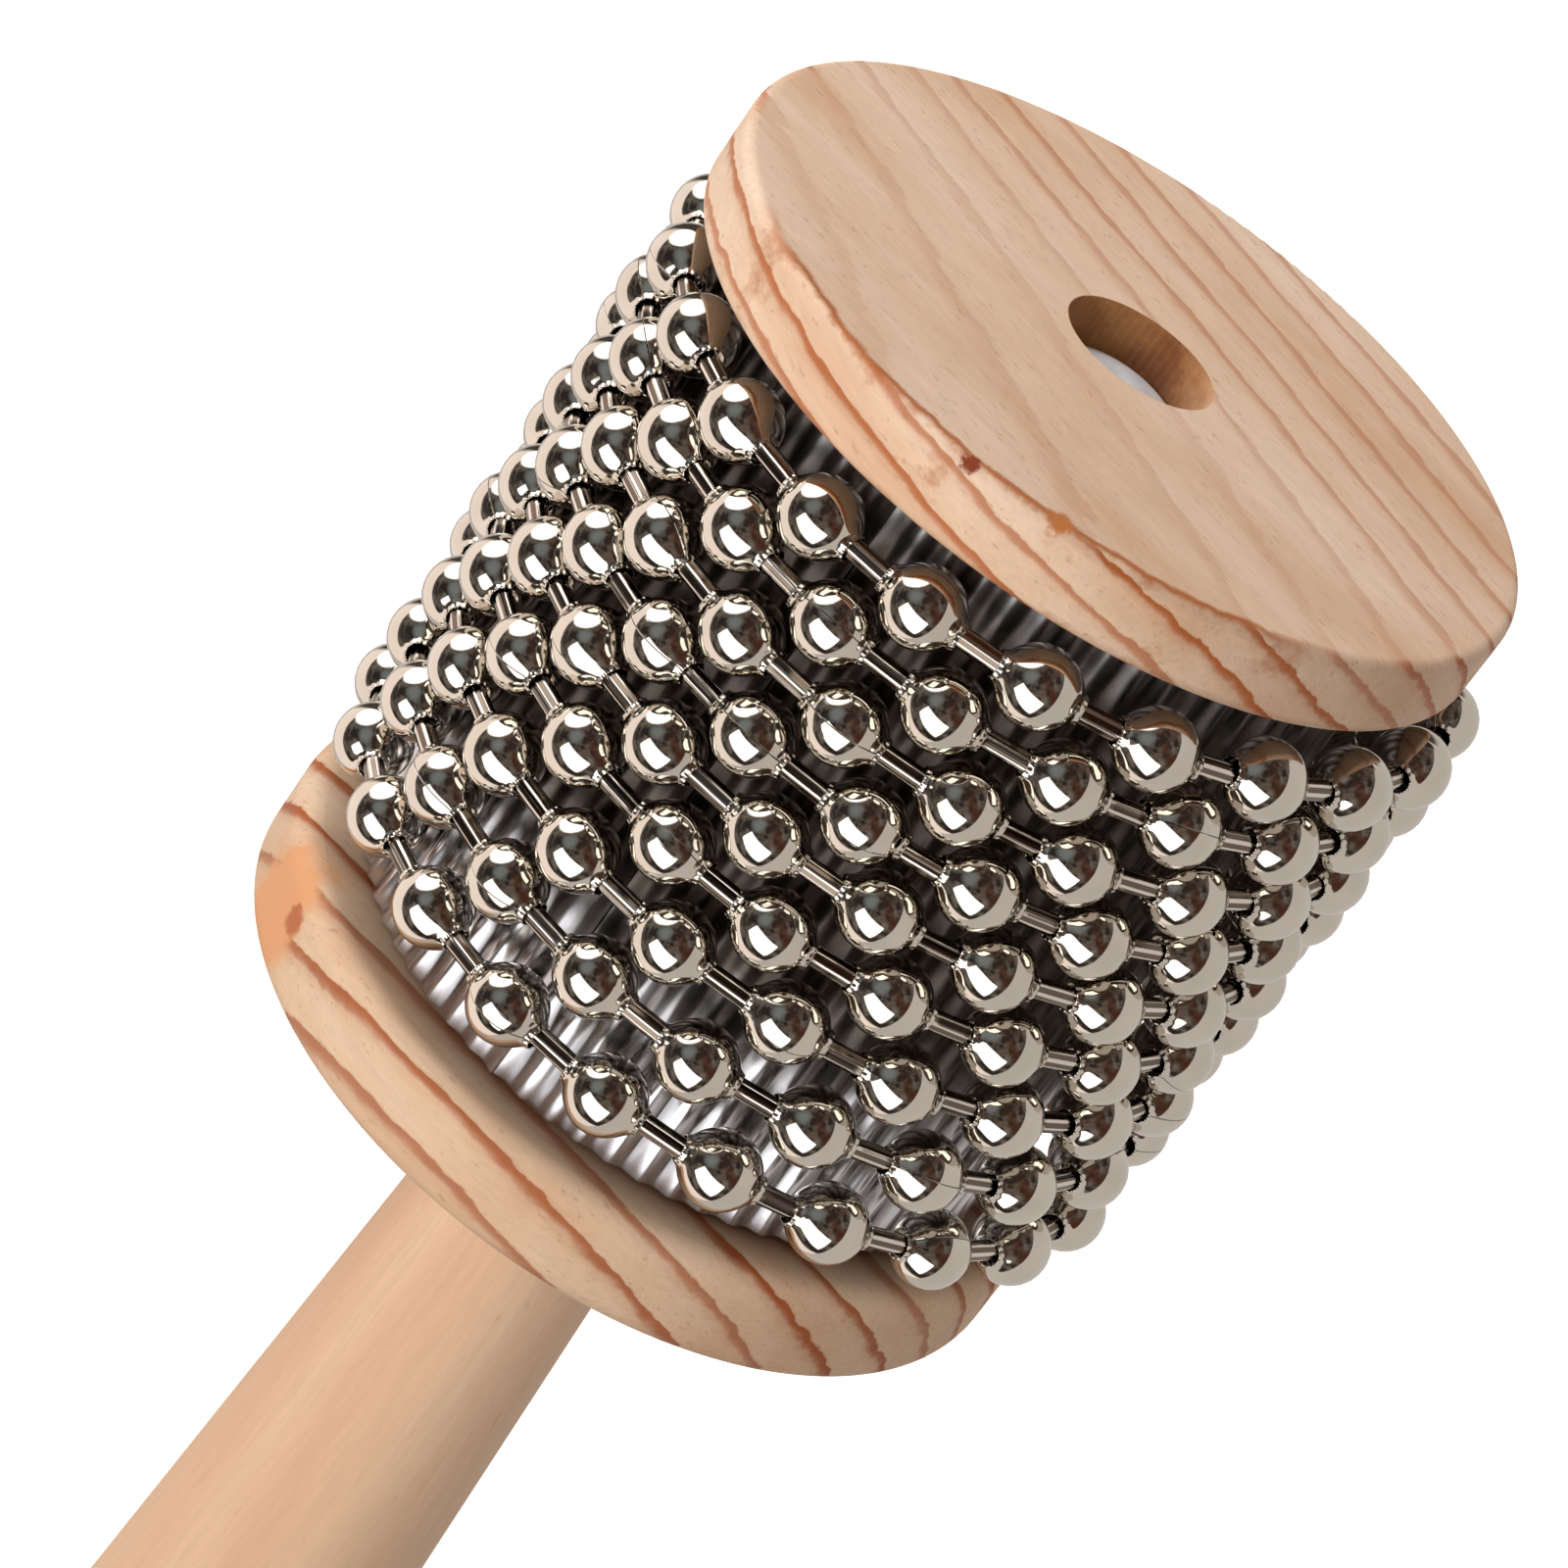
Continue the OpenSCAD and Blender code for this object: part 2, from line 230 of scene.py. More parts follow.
# Pine with wide, strong rings: dark orange-brown lines 5 to 8 mm apart where they cross the rim. A
# knot was cut through at one side, and the grain round it is stained orange with resin.
inner_pine, tree, shader, mm, colour, height = pine(
    "sanded_pine_wide_rings", grain_turn=math.radians(-25), pith=(0, -80, 41), lift=0, ring_mm=4.8,
    ring_at=83.4, sway_mm=1.6, early=("C69D7D", "D1B092", "D9BCA2"), late="96460F",
    contrast=(1, 1, 1), seed=40)
for middle, reach, ragged, stain in (((-36.5, -17.5, 110.5), 6.5, 1.0, "CF9468"),
                                     ((-34.1, -20.9, 111.9), 1.6, 1.2, "A9623A")):
    colour = add(tree, "Mix", {"Factor": blot(tree, mm, middle, reach, ragged), "A": colour,
                               "B": linear(stain)}, data_type="RGBA").outputs[2]
# Foot of the sleeve: painted shade darkens the wood round the sleeve's foot, most where beads hang over it
shade_start_r, shade_end_r, overhang_shade_way = 33.0, 37.5, (0.6, -0.8, 0)
disc_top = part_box("inner_disc")[1].z / MM
flat = add(tree, "VectorMath", {0: mm, 1: (1, 1, 0)}, operation="MULTIPLY").outputs[0]
radius = add(tree, "VectorMath", {0: flat}, operation="LENGTH").outputs["Value"]
near = add(tree, "MapRange", {"Value": radius, "From Min": shade_start_r, "From Max": shade_end_r,
                              "To Min": 1.0, "To Max": 0.0}).outputs[0]
level = add(tree, "SeparateXYZ", {"Vector": mm}).outputs["Z"]
top = add(tree, "MapRange", {"Value": level, "From Min": disc_top - 2.6,
                             "From Max": disc_top - 0.6}).outputs[0]
overhung = add(tree, "VectorMath", {0: flat, 1: overhang_shade_way}, operation="DOT_PRODUCT").outputs["Value"]
most = add(tree, "MapRange", {"Value": overhung, "From Min": 0, "From Max": 36, "To Min": 0.35,
                              "To Max": 0.95}).outputs[0]
foot_shade = add(tree, "Math", {0: near, 1: most}, operation="MULTIPLY").outputs[0]
share = add(tree, "Math", {0: foot_shade, 1: top}, operation="MULTIPLY").outputs[0]
# Mixes in the dark brown painted shade
colour = add(tree, "Mix", {"Factor": share, "A": colour, "B": linear("4C2B15")},
             data_type="RGBA").outputs[2]
finish_wood(tree, shader, colour, height, dull=0.6)
dress(nodes["inner_disc"], inner_pine)


# Core: a plain cylinder turned from softwood. It fills the sleeve and holds the discs apart, and the
# bolt runs through it and clamps it between them. It is hidden in the built instrument.

# Turned softwood: a darker and plainer pine
core_wood, tree, shader, mm, colour, height = pine(
    "turned_softwood", grain_turn=math.radians(90), pith=(0, 8, 90), lift=0.06, ring_mm=3.2, ring_at=9,
    sway_mm=3.0, early=("C9A27A", "D2AD86", "DAB791"), late="AE7F55", contrast=(0.7, 0.7, 0.7), seed=7)
finish_wood(tree, shader, colour, height, dull=0.65)
dress(nodes["core"], core_wood)


# Sleeve: thin bright aluminium sheet, rolled into 66 lengthwise flutes, wrapped round the core and
# lapped by one flute. Its cut lower edge stands out a little. The new sheet has rounder flutes than
# the CAD solid.

def new_piece(name, bm, node_name, body, finish):
    """Makes the mesh an object that stands for a CAD node and rides on its body."""
    mesh = bpy.data.meshes.new(name)
    bm.to_mesh(mesh)
    bm.free()
    piece = bpy.data.objects.new(name, mesh)
    bpy.context.scene.collection.objects.link(piece)
    mesh.shade_smooth()
    dress(piece, finish)
    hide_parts(node_name)
    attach(piece, body)
    return piece


# Rolled aluminium sheet: bright, with faint drawing lines along the flutes and painted shade that greys the
# valleys.
# Where the chains run, painted shade under and between the beads leaves it dark.
low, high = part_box("sleeve")
valley_mm, bright_mm = 32.85, 33.2
sleeve_sheet, tree, shader = new_finish("fluted_aluminium_sheet")
place = add(tree, "TexCoord").outputs["Object"]
drawn = add(tree, "Mapping", {"Vector": place, "Scale": (1000, 1000, 30)})
lines = add(tree, "TexNoise", {"Vector": drawn.outputs[0], "Scale": 1.6, "Detail": 3,
                               "Roughness": 0.6}).outputs[0]
scuff = add(tree, "TexNoise", {"Vector": place, "Scale": 260, "Detail": 3, "Roughness": 0.6}).outputs[0]
flat = add(tree, "VectorMath", {0: place, 1: (1000, 1000, 0)}, operation="MULTIPLY")
radius = add(tree, "VectorMath", {0: flat.outputs[0]}, operation="LENGTH")
# Painted shade: grey in the flutes' valleys, bright on their crests
crest = add(tree, "MapRange", {"Value": radius.outputs["Value"], "From Min": valley_mm,
                               "From Max": bright_mm})
valley_shade = add(tree, "Mix", {"Factor": crest.outputs[0], "A": linear("807E7E"), "B": linear("D6D6DB")},
           data_type="RGBA").outputs[2]
# Painted shade where the chains hang: it begins above the foot and fades at the top, at heights that waver
shade_starts, shade_full, waver = low.z + 14 * MM, low.z + 26 * MM, 6 * MM
shade_fades, shade_least = high.z - 4 * MM, high.z + 1 * MM
height_up = add(tree, "SeparateXYZ", {"Vector": place}).outputs["Z"]
wavered = add(tree, "Math", {0: scuff, 1: waver, 2: height_up}, operation="MULTIPLY_ADD").outputs[0]
above_foot = add(tree, "MapRange", {"Value": wavered, "From Min": shade_starts,
                                    "From Max": shade_full}).outputs[0]
below_top = add(tree, "MapRange", {"Value": wavered, "From Min": shade_fades, "From Max": shade_least,
                                   "To Min": 0.95, "To Max": 0.5}).outputs[0]
painted_shading = add(tree, "Math", {0: above_foot, 1: below_top}, operation="MULTIPLY").outputs[0]
# Mixes in the dark painted shade
metal = add(tree, "Mix", {"Factor": painted_shading, "A": valley_shade, "B": linear("52473F")},
            data_type="RGBA").outputs[2]
tree.links.new(metal, shader.inputs["Base Color"])
shader.inputs["Metallic"].default_value = 1
scuffed = add(tree, "MapRange", {"Value": scuff, "From Min": 0.3, "From Max": 0.7,
                                 "To Min": 0.18, "To Max": 0.28})
dull = add(tree, "Math", {0: painted_shading, 1: 0.22, 2: scuffed.outputs[0]}, operation="MULTIPLY_ADD")
tree.links.new(dull.outputs[0], shader.inputs["Roughness"])
relief = add(tree, "Bump", {"Height": lines, "Strength": 0.4, "Distance": 0.01 * MM})
tree.links.new(relief.outputs[0], shader.inputs["Normal"])

# Sheet: one upright edge is spun round, and its points are then moved in and out into the flutes. The
# last flute is lifted over the first one, which makes the lap.
flutes, steps_per_flute = 66, 12
crest_r, flute_depth, sheet_t, lap_lift = 33.4 * MM, 0.55 * MM, 0.3 * MM, 0.35 * MM
flare, flare_h, foot_gap = 0.3 * MM, 4 * MM, 0.3 * MM
seam_az = -112
lap_start = math.radians(seam_az - 360 / flutes)
bm = bmesh.new()
levels = [low.z + foot_gap + share * flare_h for share in (0, 0.25, 0.5, 0.75, 1)] + [high.z]
edge = [bm.verts.new((math.cos(lap_start), math.sin(lap_start), z)) for z in levels]
for below, above in zip(edge, edge[1:]):
    bm.edges.new((below, above))
bmesh.ops.spin(bm, geom=bm.verts[:] + bm.edges[:], cent=(0, 0, 0), axis=(0, 0, 1), dvec=(0, 0, 0),
               angle=math.tau * (flutes + 1) / flutes, steps=(flutes + 1) * steps_per_flute,
               use_merge=False)
bm.verts.index_update()
for vertex in bm.verts:
    turns = vertex.index // len(levels) / steps_per_flute
    r = crest_r - flute_depth / 2 * (1 - math.cos(math.tau * turns))
    r += lap_lift * max(0, turns - flutes)
    r += flare * max(0, 1 - (vertex.co.z - levels[0]) / flare_h) ** 2
    vertex.co.x *= r
    vertex.co.y *= r
bmesh.ops.recalc_face_normals(bm, faces=bm.faces[:])
if sum(f.normal.dot(Vector((f.verts[0].co.x, f.verts[0].co.y, 0))) for f in bm.faces) < 0:
    bmesh.ops.reverse_faces(bm, faces=bm.faces[:])
bmesh.ops.solidify(bm, geom=bm.faces[:], thickness=sheet_t)
sleeve = new_piece("fluted_sheet", bm, "sleeve", "drum_and_handle", sleeve_sheet)
sleeve.data.set_sharp_from_angle(angle=math.radians(50))


# Outer disc: a thinner disc from the same kind of board, with a counterbore for the bolt's head.
# Its face is sanded flat and its edges only just broken, so the rings cross the face in straight lines.

# Pine with close, straight rings: faint on the face's front half, clearer on its back half, and strong
# round the rim
outer_pine, tree, shader, mm, colour, height = pine(
    "sanded_pine_straight_rings", grain_turn=math.radians(-32), pith=(0, -49, 112), lift=-0.14,
    ring_mm=3.9, ring_at=77, sway_mm=1.3, early=("CDA484", "D8B79B", "E0C4AC"), late="A5541A",
    contrast=(0.22, 0.55, 1.0), seed=3, turn_at=52)
# Edge streak: one ring was cut through at the face's front edge, and tore a ragged orange line
streak_r, stray_mm, front_way = 39.1, 3.0, (-0.225, -0.974, 0)
flat = add(tree, "VectorMath", {0: mm, 1: (1, 1, 0)}, operation="MULTIPLY").outputs[0]
radius = add(tree, "VectorMath", {0: flat}, operation="LENGTH").outputs["Value"]
wander = add(tree, "TexNoise", {"Vector": mm, "Scale": 0.16, "Detail": 4, "Roughness": 0.65}).outputs[0]
strayed = add(tree, "Math", {0: wander, 1: stray_mm, 2: radius}, operation="MULTIPLY_ADD").outputs[0]
offside = add(tree, "Math", {0: strayed, 1: streak_r + stray_mm / 2}, operation="SUBTRACT").outputs[0]
apart = add(tree, "Math", {0: offside}, operation="ABSOLUTE").outputs[0]
streak = add(tree, "MapRange", {"Value": apart, "From Min": 0.15, "From Max": 0.75, "To Min": 0.9,
                                "To Max": 0.0}).outputs[0]
front = add(tree, "VectorMath", {0: flat, 1: front_way}, operation="DOT_PRODUCT").outputs["Value"]
fronted = add(tree, "MapRange", {"Value": front, "From Min": 24, "From Max": 31}).outputs[0]
streaked = add(tree, "Math", {0: streak, 1: fronted}, operation="MULTIPLY").outputs[0]
colour = add(tree, "Mix", {"Factor": streaked, "A": colour, "B": linear("A0561F")},
             data_type="RGBA").outputs[2]
# Resin: a dark red fleck and a brown one in that line
for middle, reach, ragged, stain in (((-10.3, -38.6, 193.7), 1.0, 1.4, "7B3317"),
                                     ((-1.5, -38.8, 193.9), 1.3, 1.6, "B36B35")):
    colour = add(tree, "Mix", {"Factor": blot(tree, mm, middle, reach, ragged), "A": colour,
                               "B": linear(stain)}, data_type="RGBA").outputs[2]
# Counterbore: the drill left its wall rough; its colour is painted shade, brown and darker towards one side
bore_r, wall_shade_way = 7.55, (-0.53, 0.85, 0)
bore = add(tree, "MapRange", {"Value": radius, "From Min": bore_r - 0.07, "From Max": bore_r + 0.07,
                              "To Min": 1.0, "To Max": 0.0}).outputs[0]
painted_shading = add(tree, "TexNoise", {"Vector": mm, "Scale": 0.35, "Detail": 4, "Roughness": 0.7}).outputs[0]
side = add(tree, "VectorMath", {0: mm, 1: wall_shade_way}, operation="DOT_PRODUCT").outputs["Value"]
sided = add(tree, "Math", {0: painted_shading, 1: 9.0, 2: side}, operation="MULTIPLY_ADD").outputs[0]
wall_shade = add(tree, "MapRange", {"Value": sided, "From Min": 0.0, "From Max": 14.0}).outputs[0]
shaded_wall_colour = add(tree, "ValToRGB", {"Fac": wall_shade},
            ramp=[(0.05, linear("D3A57E")), (0.4, linear("B07A4B")), (0.65, linear("804518")),
                  (0.95, linear("A8743A"))]).outputs[0]
# Mixes the painted shade into the counterbore's wall
colour = add(tree, "Mix", {"Factor": bore, "A": colour, "B": shaded_wall_colour}, data_type="RGBA").outputs[2]
finish_wood(tree, shader, colour, height, dull=0.58)
dress(nodes["outer_disc"], outer_pine)


# Connector bolt: a zinc-plated steel carriage bolt. Its square neck bites into the outer disc, its
# domed head lies in the counterbore, and its shank runs through the core into the insert.

# Zinc plate: bright, with a pale chalky bloom that makes it duller in clouds
bolt_zinc, tree, shader = new_finish("bright_zinc_plate")
place = add(tree, "TexCoord").outputs["Object"]
cloud = add(tree, "TexNoise", {"Vector": place, "Scale": 400, "Detail": 4, "Roughness": 0.6})
tint = add(tree, "ValToRGB", {"Fac": cloud.outputs[0]},
           ramp=[(0.3, linear("D2D6DC")), (0.7, linear("EAEDF1"))])
tree.links.new(tint.outputs[0], shader.inputs["Base Color"])
shader.inputs["Metallic"].default_value = 0.3
dull = add(tree, "MapRange", {"Value": cloud.outputs[0], "To Min": 0.3, "To Max": 0.45})
tree.links.new(dull.outputs[0], shader.inputs["Roughness"])
relief = add(tree, "Bump", {"Height": cloud.outputs[0], "Strength": 0.5, "Distance": 0.03 * MM})
tree.links.new(relief.outputs[0], shader.inputs["Normal"])
dress(nodes["connector_bolt"], bolt_zinc)


# Bead chains: nine closed loops of ball chain that hang round the sleeve. Each bead is a steel shell,
# pressed round, closed along a seam and nickel plated. Its ends are rolled in round the heads of two
# short pins, which join it to its neighbours.

# Polished nickel plate: a warm mirror with faint waves from the pressing, a hair-fine seam from
# hole to hole, and small gathers round each hole. Attribute "shell" is the place on the cage in mm.
bead_nickel, tree, shader = new_finish("polished_nickel_on_pressed_steel")
shell = add(tree, "Attribute", attribute_name="shell").outputs["Vector"]
axes = add(tree, "SeparateXYZ", {"Vector": shell}).outputs
place = add(tree, "TexCoord").outputs["Object"]
angle = add(tree, "Math", {0: axes["Y"], 1: axes["X"]}, operation="ARCTAN2").outputs[0]
along = add(tree, "Math", {0: axes["Z"]}, operation="ABSOLUTE").outputs[0]
# Gathers: small folds round each hole, coarser than the real ones so that they show
fold_count = 13
folds = add(tree, "Math", {0: angle, 1: fold_count}, operation="MULTIPLY").outputs[0]
fold = add(tree, "Math", {0: folds}, operation="SINE").outputs[0]
near_hole = add(tree, "MapRange", {"Value": along, "From Min": 3.5, "From Max": 4.1,
                                   "To Min": 0.0, "To Max": 0.05}).outputs[0]
gathers = add(tree, "Math", {0: fold, 1: near_hole}, operation="MULTIPLY").outputs[0]
# Seam: a fine groove along one side of the bead, where the sheet's edges meet at a slight angle
sideways = add(tree, "Math", {0: axes["Y"]}, operation="ABSOLUTE").outputs[0]
front = add(tree, "Math", {0: axes["X"], 1: 0.0}, operation="GREATER_THAN").outputs[0]
groove = add(tree, "MapRange", {"Value": sideways, "From Min": 0.015, "From Max": 0.06,
                                "To Min": 1.0, "To Max": 0.0}).outputs[0]
seam = add(tree, "Math", {0: groove, 1: front}, operation="MULTIPLY").outputs[0]
kink = add(tree, "MapRange", {"Value": sideways, "From Min": 0.0, "From Max": 1.2,
                              "To Min": 0.03, "To Max": 0.0}).outputs[0]
ridge = add(tree, "Math", {0: kink, 1: front}, operation="MULTIPLY").outputs[0]
waves = add(tree, "TexNoise", {"Vector": place, "Scale": 320, "Detail": 1, "Roughness": 0.4}).outputs[0]
wave_mm = add(tree, "Math", {0: waves, 1: 0.05}, operation="MULTIPLY").outputs[0]
sunk = add(tree, "Math", {0: seam, 1: -0.05, 2: ridge}, operation="MULTIPLY_ADD").outputs[0]
folded = add(tree, "Math", {0: sunk, 1: gathers}, operation="ADD").outputs[0]
height = add(tree, "Math", {0: folded, 1: wave_mm}, operation="ADD").outputs[0]
relief = add(tree, "Bump", {"Height": height, "Strength": 1.0, "Distance": MM})
tree.links.new(relief.outputs[0], shader.inputs["Normal"])
plate = add(tree, "ValToRGB", {"Fac": waves}, ramp=[(0.3, linear("D6CFC4")), (0.7, linear("DED7CC"))])
seamed = add(tree, "Mix", {"Factor": seam, "A": plate.outputs[0], "B": linear("4A423B")}, data_type="RGBA")
tree.links.new(seamed.outputs[2], shader.inputs["Base Color"])
shader.inputs["Metallic"].default_value = 1
grit = add(tree, "TexNoise", {"Vector": place, "Scale": 1500, "Detail": 2}).outputs[0]
dull = add(tree, "MapRange", {"Value": grit, "To Min": 0.03, "To Max": 0.1})
tree.links.new(dull.outputs[0], shader.inputs["Roughness"])

# Nickel-plated rolled pin: duller than the beads, with its long seam and drawing lines as seven ribs, and
# painted reflection stripes along them. The seven lines are wider than the real ones, so that they show.
link_steel, tree, shader = new_finish("rolled_nickel_plated_pin")
shell = add(tree, "Attribute", attribute_name="shell").outputs["Vector"]
axes = add(tree, "SeparateXYZ", {"Vector": shell}).outputs
angle = add(tree, "Math", {0: axes["Y"], 1: axes["X"]}, operation="ARCTAN2").outputs[0]
rib_count = 7
ribs = add(tree, "Math", {0: angle, 1: rib_count}, operation="MULTIPLY").outputs[0]
drawn = add(tree, "Math", {0: ribs}, operation="SINE").outputs[0]
split = add(tree, "Math", {0: angle}, operation="ABSOLUTE").outputs[0]
gap = add(tree, "MapRange", {"Value": split, "From Min": 0.1, "From Max": 0.2,
                             "To Min": 1.0, "To Max": 0.0}).outputs[0]
sunk = add(tree, "Math", {0: gap, 1: -0.12}, operation="MULTIPLY").outputs[0]
height = add(tree, "Math", {0: drawn, 1: 0.035, 2: sunk}, operation="MULTIPLY_ADD").outputs[0]
relief = add(tree, "Bump", {"Height": height, "Strength": 1.0, "Distance": MM})
tree.links.new(relief.outputs[0], shader.inputs["Normal"])
# Painted reflection: the colour is dark in the ribs' troughs and pale on their crests
plate = add(tree, "ValToRGB", {"Fac": drawn}, ramp=[(0.0, linear("75685C")), (0.55, linear("E8E1D8"))])
split_dark = add(tree, "Mix", {"Factor": gap, "A": plate.outputs[0], "B": linear("3A332D")},
                 data_type="RGBA")
tree.links.new(split_dark.outputs[2], shader.inputs["Base Color"])
shader.inputs["Metallic"].default_value = 1
shader.inputs["Roughness"].default_value = 0.16


def ring_cage(profile, closed):
    """A cage eight faces round, spun from a profile of (radius, height) points in mm.

    The radii are for the smoothed surface, which runs inside an eight-sided cage by this share."""
    faces = 8
    widen = 6 / (4 + 2 * math.cos(math.tau / faces))
    bm = bmesh.new()
    points = [bm.verts.new((r * widen, 0, z)) for r, z in profile]
    for here, there in zip(points, points[1:] + points[:1] if closed else points[1:]):
        bm.edges.new((here, there))
    bmesh.ops.spin(bm, geom=bm.verts[:] + bm.edges[:], cent=(0, 0, 0), axis=(0, 0, 1), dvec=(0, 0, 0),
                   angle=math.tau, steps=faces, use_merge=True)
    bmesh.ops.remove_doubles(bm, verts=bm.verts[:], dist=0.001)
    bmesh.ops.recalc_face_normals(bm, faces=bm.faces[:])
    shell = bm.verts.layers.float_vector.new("shell")
    for vertex in bm.verts:
        vertex[shell] = vertex.co
    mesh = bpy.data.meshes.new("cage")
    bm.to_mesh(mesh)
    bm.free()
    return mesh


joints = {joint["child"]: joint for joint in frame["joints"]}


def strung(cage, chain, count, first, radius, jitter, loose):
    """Copies of a cage round one chain, each rolled at random about its own hole's axis.

    Each is also tilted by up to jitter and lies up to loose off its place along and across the chain."""
    joint = joints[f"chain_{chain}"]
    lean = Vector((0, 0, 1)).rotation_difference(Vector(joint["axis"])).to_matrix().to_4x4()
    centre = Matrix.Translation(joint["pos_m"]) @ lean
    bm = bmesh.new()
    for i in range(count):
        start = len(bm.verts)
        bm.from_mesh(cage)
        bm.verts.ensure_lookup_table()
        tilt = Matrix.Rotation(random.uniform(-jitter, jitter), 4, "X") @ Matrix.Rotation(
            random.uniform(-jitter, jitter), 4, "Y")
        place = (centre @ Matrix.Rotation(math.radians(first + i * 360 / count), 4, "Z")
                 @ Matrix.Translation(
                     (radius, loose * random.uniform(-1, 1), loose * random.uniform(-1, 1)))
                 @ Matrix.Rotation(math.pi / 2, 4, "X")
                 @ tilt @ Matrix.Rotation(random.uniform(0, math.tau), 4, "Z") @ Matrix.Scale(MM, 4))
        bmesh.ops.transform(bm, matrix=place, verts=bm.verts[start:])
    return bm


# Chains: each starts a share of the bead spacing further round than the first one
random.seed(21)
bead_count, first_bead_az = 21, -101.8
turn_shares = [0, 0.57, 0.04, 0.54, 0.04, 0.5, -0.05, 0.62, 0.22]
chain_r, link_r = 39.25 * MM, 39.40 * MM
# Bead: 7.5 mm across and 8.3 mm long, a shell whose profile runs from its equator over the collar and
# back inside. Pin: 2.1 mm thick and 9.6 mm long, with its heads inside two beads.
bead_outside, bead_inside = (3.9, 0), (3.6, 0)
bead_half = [(3.45, 1.85), (2.2, 3.2), (1.42, 3.6), (1.38, 4.3), (0.95, 3.95)]
bead_cage = ring_cage([bead_outside] + bead_half + [bead_inside] + [(r, -z) for r, z in bead_half[::-1]],
                      True)
pin_half = [(1.0, 1.6), (0.95, 2.4), (1.6, 3.0), (1.5, 4.6), (0, 4.9)]
pin_cage = ring_cage([(r, -z) for r, z in pin_half[::-1]] + pin_half, False)
for chain, share in enumerate(turn_shares, 1):
    turn = first_bead_az + share * 360 / bead_count
    body = f"chain_{chain}"
    for name, cage, node_name, slot, finish, first, radius, jitter, loose in (
            ("bead_shells", bead_cage, "beads", "bead_nickel", bead_nickel,
             turn, chain_r, 0.035, 0.22 * MM),
            ("link_pins", pin_cage, "links", "link_steel", link_steel,
             turn + 180 / bead_count, link_r, 0, 0)):
        bm = strung(cage, chain, bead_count, first, radius, jitter, loose)
        piece = new_piece(f"{name}_{chain}", bm, f"{node_name}_{chain}", body, finish)
        smooth = piece.modifiers.new("smooth", "SUBSURF")
        smooth.levels = smooth.render_levels = 2 if name == "bead_shells" else 1
bpy.data.meshes.remove(bead_cage)
bpy.data.meshes.remove(pin_cage)


# Studio: the camera stands where the photograph's did, close and steeply turned. Soft lights off
# the picture light the wood, and the room that the metal mirrors has the photograph's softboxes.
camera = bpy.data.objects.new("camera", bpy.data.cameras.new("camera"))
bpy.context.scene.collection.objects.link(camera)
camera.location = (-0.0570968, -0.5197496, 0.4106475)
camera.rotation_mode = "QUATERNION"
camera.rotation_quaternion = (0.82583994, 0.4854258, -0.18447867, 0.21981312)
camera.data.lens = 148.952
bpy.context.scene.camera = camera
bpy.context.scene.view_settings.view_transform = "Standard"


def soft_light(name, azimuth, elevation, distance, size, watts):
    """A square soft light that faces the drum's middle from a direction given in degrees.

    Metal doesn't mirror it, because the room has the softboxes that the metal shows."""
    light = bpy.data.lights.new(name, "AREA")
    light.size, light.energy = size, watts
    lamp = bpy.data.objects.new(name, light)
    bpy.context.scene.collection.objects.link(lamp)
    a, e = math.radians(azimuth), math.radians(elevation)
    away = Vector((math.cos(a) * math.cos(e), math.sin(a) * math.cos(e), math.sin(e)))
    drum_middle = Vector((0, 0, 0.15))
    lamp.location = drum_middle + away * distance
    lamp.rotation_mode = "QUATERNION"
    lamp.rotation_quaternion = away.to_track_quat("Z", "Y")
    lamp.visible_camera = lamp.visible_glossy = False


soft_light("key_light", azimuth=-125, elevation=10, distance=0.6, size=0.4, watts=3.3)
soft_light("top_light", azimuth=135, elevation=50, distance=0.55, size=0.4, watts=2.2)
soft_light("side_light", azimuth=20, elevation=5, distance=0.8, size=0.6, watts=1.5)

# Matt white board as the floor, plain in every view. It throws less light back than it shows.
floor_paint, tree, shader = new_finish("pale_floor")
sight = add(tree, "LightPath").outputs["Is Camera Ray"]
grey = add(tree, "BsdfDiffuse", {"Color": linear("B4ACA4")})
white = add(tree, "BsdfDiffuse", {"Color": linear("F2F0EE")})
glow = add(tree, "Emission", {"Color": linear("FFFFFF"), "Strength": 0.6})
lit = add(tree, "AddShader", {0: white.outputs[0], 1: glow.outputs[0]})
board = add(tree, "MixShader", {0: sight, 1: grey.outputs[0], 2: lit.outputs[0]})
tree.links.new(board.outputs[0], tree.nodes["Material Output"].inputs["Surface"])
bm = bmesh.new()
bmesh.ops.create_grid(bm, x_segments=1, y_segments=1, size=6)
mesh = bpy.data.meshes.new("floor")
bm.to_mesh(mesh)
bm.free()
floor = bpy.data.objects.new("floor", mesh)
bpy.context.scene.collection.objects.link(floor)
floor.visible_glossy = False
dress(floor, floor_paint)

# Room that the metal mirrors: dark on the front side, with faint shapes, a rectangular softbox, a round
# one and a weak glow, a grey table on one side, and behind it a white sheet with a dark doorway above
room = bpy.data.worlds.new("room")
room.use_nodes = True
room.cycles.sampling_method = "NONE"
bpy.context.scene.world = room
tree = room.node_tree
towards = add(tree, "TexCoord").outputs["Generated"]

